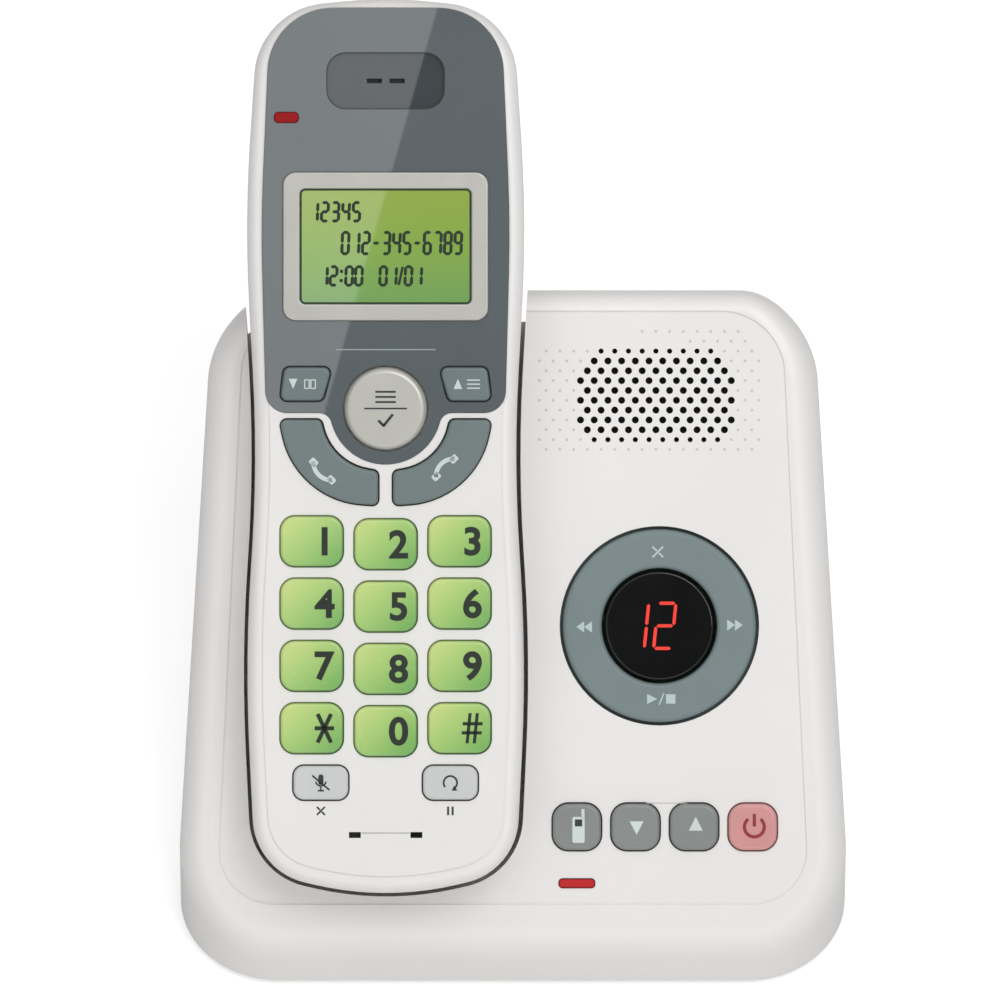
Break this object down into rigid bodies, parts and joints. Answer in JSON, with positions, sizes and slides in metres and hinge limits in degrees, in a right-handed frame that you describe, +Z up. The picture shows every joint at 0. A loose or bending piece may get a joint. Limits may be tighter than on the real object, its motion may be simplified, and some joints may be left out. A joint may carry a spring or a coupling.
{
  "type": "answering machine",
  "caption": "Cordless telephone base with a digital answering machine on a sloping deck, with speaker grille, ring key, message display and the handset standing in its cradle.",
  "frame": {"origin": "on the desk under the middle of the whole machine's bounding box", "axes": "+Z up, +X to the right as seen by the user, -Y towards the front lip and the user; the deck rises towards +Y"},
  "size_m": [0.124, 0.1467, 0.1241],
  "materials": {
    "white_housing": "white, softly glossy",
    "dark_plastic": "black, matte",
    "rubber": "dark, matte",
    "steel": "plated",
    "board": "green board with a lacquer",
    "switches": "dark, matte",
    "black_lens": "black, clear gloss",
    "red_lens": "red, translucent",
    "contacts": "plated spring metal",
    "ring_plastic": "slate, satin",
    "grey_keys": "grey, satin",
    "slate_panel": "slate, high gloss",
    "silver_trim": "silver paint, satin",
    "display_glass": "clear pane over a lit yellow-green display",
    "green_keys": "green, translucent"
  },
  "bodies": {
    "base": {"base_upper_housing": "white_housing", "base_bottom_cover": "dark_plastic", "rubber_feet": "rubber", "base_housing_screws": "steel", "base_circuit_board": "board", "base_tact_switches": "switches", "base_loudspeaker": "dark_plastic", "display_lens": "black_lens", "message_counter_module": "dark_plastic", "in_use_light_pipe": "red_lens", "cradle_charge_contacts": "contacts", "socket_circuit_board": "board", "telephone_line_jack": "dark_plastic", "power_inlet_jack": "dark_plastic", "radio_shield_can": "steel", "base_antenna": "steel"},
    "ring_web": {"ring_key_web": "rubber"},
    "ring_cap": {"ring_key_cap": "ring_plastic"},
    "find_handset_button": {"find_handset_button": "grey_keys"},
    "volume_down_button": {"volume_down_button": "grey_keys"},
    "volume_up_button": {"volume_up_button": "grey_keys"},
    "answer_power_button": {"answer_power_button": "red_lens"},
    "handset": {"handset_front_housing": "white_housing", "handset_rear_housing": "white_housing", "handset_housing_screws": "steel", "handset_face_panel": "slate_panel", "lcd_frame": "silver_trim", "lcd_window": "display_glass", "lcd_module": "display_glass", "charge_light_pipe": "red_lens", "earpiece_receiver": "dark_plastic", "handset_microphone": "dark_plastic", "keypad_rubber_mat": "rubber", "handset_circuit_board": "board", "battery_cells": "steel", "handset_charge_contacts": "contacts"},
    "battery_door": {"battery_door": "white_housing"},
    "menu_select_key": {"menu_select_key": "silver_trim"},
    "handset_volume_down_key": {"handset_volume_down_key": "slate_panel"},
    "talk_key": {"talk_key": "slate_panel"},
    "handset_volume_up_key": {"handset_volume_up_key": "slate_panel"},
    "off_key": {"off_key": "slate_panel"},
    "dial_key_1": {"dial_key_1": "green_keys"},
    "dial_key_2": {"dial_key_2": "green_keys"},
    "dial_key_3": {"dial_key_3": "green_keys"},
    "dial_key_4": {"dial_key_4": "green_keys"},
    "dial_key_5": {"dial_key_5": "green_keys"},
    "dial_key_6": {"dial_key_6": "green_keys"},
    "dial_key_7": {"dial_key_7": "green_keys"},
    "dial_key_8": {"dial_key_8": "green_keys"},
    "dial_key_9": {"dial_key_9": "green_keys"},
    "dial_key_star": {"dial_key_star": "green_keys"},
    "dial_key_0": {"dial_key_0": "green_keys"},
    "dial_key_hash": {"dial_key_hash": "green_keys"},
    "mute_key": {"mute_key": "grey_keys"},
    "redial_key": {"redial_key": "grey_keys"}
  },
  "joints": [
    {"name": "ring_rock_up_down", "type": "hinge", "parent": "base", "child": "ring_web", "pos_m": [0.02725, -0.02148, 0.04294], "axis": [1, 0, 0], "range_deg": [-1.8, 1.8], "stiffness_Nm_per_rad": 0.05},
    {"name": "ring_rock_left_right", "type": "hinge", "parent": "ring_web", "child": "ring_cap", "pos_m": [0.02725, -0.02148, 0.04294], "axis": [0, 0.8192, 0.5736], "range_deg": [-1.8, 1.8], "stiffness_Nm_per_rad": 0.05},
    {"name": "find_handset_button_press", "type": "slide", "parent": "base", "child": "find_handset_button", "axis": [0, 0.5736, -0.8192], "range_m": [0, 0.0008], "stiffness_N_per_m": 250},
    {"name": "volume_down_button_press", "type": "slide", "parent": "base", "child": "volume_down_button", "axis": [0, 0.5736, -0.8192], "range_m": [0, 0.0008], "stiffness_N_per_m": 250},
    {"name": "volume_up_button_press", "type": "slide", "parent": "base", "child": "volume_up_button", "axis": [0, 0.5736, -0.8192], "range_m": [0, 0.0008], "stiffness_N_per_m": 250},
    {"name": "answer_power_button_press", "type": "slide", "parent": "base", "child": "answer_power_button", "axis": [0, 0.5736, -0.8192], "range_m": [0, 0.0008], "stiffness_N_per_m": 250},
    {"name": "handset_lift", "type": "slide", "parent": "base", "child": "handset", "axis": [0, -0.5736, 0.8192], "range_m": [0, 0.12]},
    {"name": "battery_door_slide", "type": "slide", "parent": "handset", "child": "battery_door", "axis": [0, -0.8192, -0.5736], "range_m": [0, 0.006]},
    {"name": "menu_select_key_press", "type": "slide", "parent": "handset", "child": "menu_select_key", "axis": [0, 0.5736, -0.8192], "range_m": [0, 0.0008], "stiffness_N_per_m": 200},
    {"name": "handset_volume_down_key_press", "type": "slide", "parent": "handset", "child": "handset_volume_down_key", "axis": [0, 0.5736, -0.8192], "range_m": [0, 0.0008], "stiffness_N_per_m": 200},
    {"name": "talk_key_press", "type": "slide", "parent": "handset", "child": "talk_key", "axis": [0, 0.5736, -0.8192], "range_m": [0, 0.0008], "stiffness_N_per_m": 200},
    {"name": "handset_volume_up_key_press", "type": "slide", "parent": "handset", "child": "handset_volume_up_key", "axis": [0, 0.5736, -0.8192], "range_m": [0, 0.0008], "stiffness_N_per_m": 200},
    {"name": "off_key_press", "type": "slide", "parent": "handset", "child": "off_key", "axis": [0, 0.5736, -0.8192], "range_m": [0, 0.0008], "stiffness_N_per_m": 200},
    {"name": "dial_key_1_press", "type": "slide", "parent": "handset", "child": "dial_key_1", "axis": [0, 0.5736, -0.8192], "range_m": [0, 0.0008], "stiffness_N_per_m": 200},
    {"name": "dial_key_2_press", "type": "slide", "parent": "handset", "child": "dial_key_2", "axis": [0, 0.5736, -0.8192], "range_m": [0, 0.0008], "stiffness_N_per_m": 200},
    {"name": "dial_key_3_press", "type": "slide", "parent": "handset", "child": "dial_key_3", "axis": [0, 0.5736, -0.8192], "range_m": [0, 0.0008], "stiffness_N_per_m": 200},
    {"name": "dial_key_4_press", "type": "slide", "parent": "handset", "child": "dial_key_4", "axis": [0, 0.5736, -0.8192], "range_m": [0, 0.0008], "stiffness_N_per_m": 200},
    {"name": "dial_key_5_press", "type": "slide", "parent": "handset", "child": "dial_key_5", "axis": [0, 0.5736, -0.8192], "range_m": [0, 0.0008], "stiffness_N_per_m": 200},
    {"name": "dial_key_6_press", "type": "slide", "parent": "handset", "child": "dial_key_6", "axis": [0, 0.5736, -0.8192], "range_m": [0, 0.0008], "stiffness_N_per_m": 200},
    {"name": "dial_key_7_press", "type": "slide", "parent": "handset", "child": "dial_key_7", "axis": [0, 0.5736, -0.8192], "range_m": [0, 0.0008], "stiffness_N_per_m": 200},
    {"name": "dial_key_8_press", "type": "slide", "parent": "handset", "child": "dial_key_8", "axis": [0, 0.5736, -0.8192], "range_m": [0, 0.0008], "stiffness_N_per_m": 200},
    {"name": "dial_key_9_press", "type": "slide", "parent": "handset", "child": "dial_key_9", "axis": [0, 0.5736, -0.8192], "range_m": [0, 0.0008], "stiffness_N_per_m": 200},
    {"name": "dial_key_star_press", "type": "slide", "parent": "handset", "child": "dial_key_star", "axis": [0, 0.5736, -0.8192], "range_m": [0, 0.0008], "stiffness_N_per_m": 200},
    {"name": "dial_key_0_press", "type": "slide", "parent": "handset", "child": "dial_key_0", "axis": [0, 0.5736, -0.8192], "range_m": [0, 0.0008], "stiffness_N_per_m": 200},
    {"name": "dial_key_hash_press", "type": "slide", "parent": "handset", "child": "dial_key_hash", "axis": [0, 0.5736, -0.8192], "range_m": [0, 0.0008], "stiffness_N_per_m": 200},
    {"name": "mute_key_press", "type": "slide", "parent": "handset", "child": "mute_key", "axis": [0, 0.5736, -0.8192], "range_m": [0, 0.0008], "stiffness_N_per_m": 200},
    {"name": "redial_key_press", "type": "slide", "parent": "handset", "child": "redial_key", "axis": [0, 0.5736, -0.8192], "range_m": [0, 0.0008], "stiffness_N_per_m": 200}
  ]
}
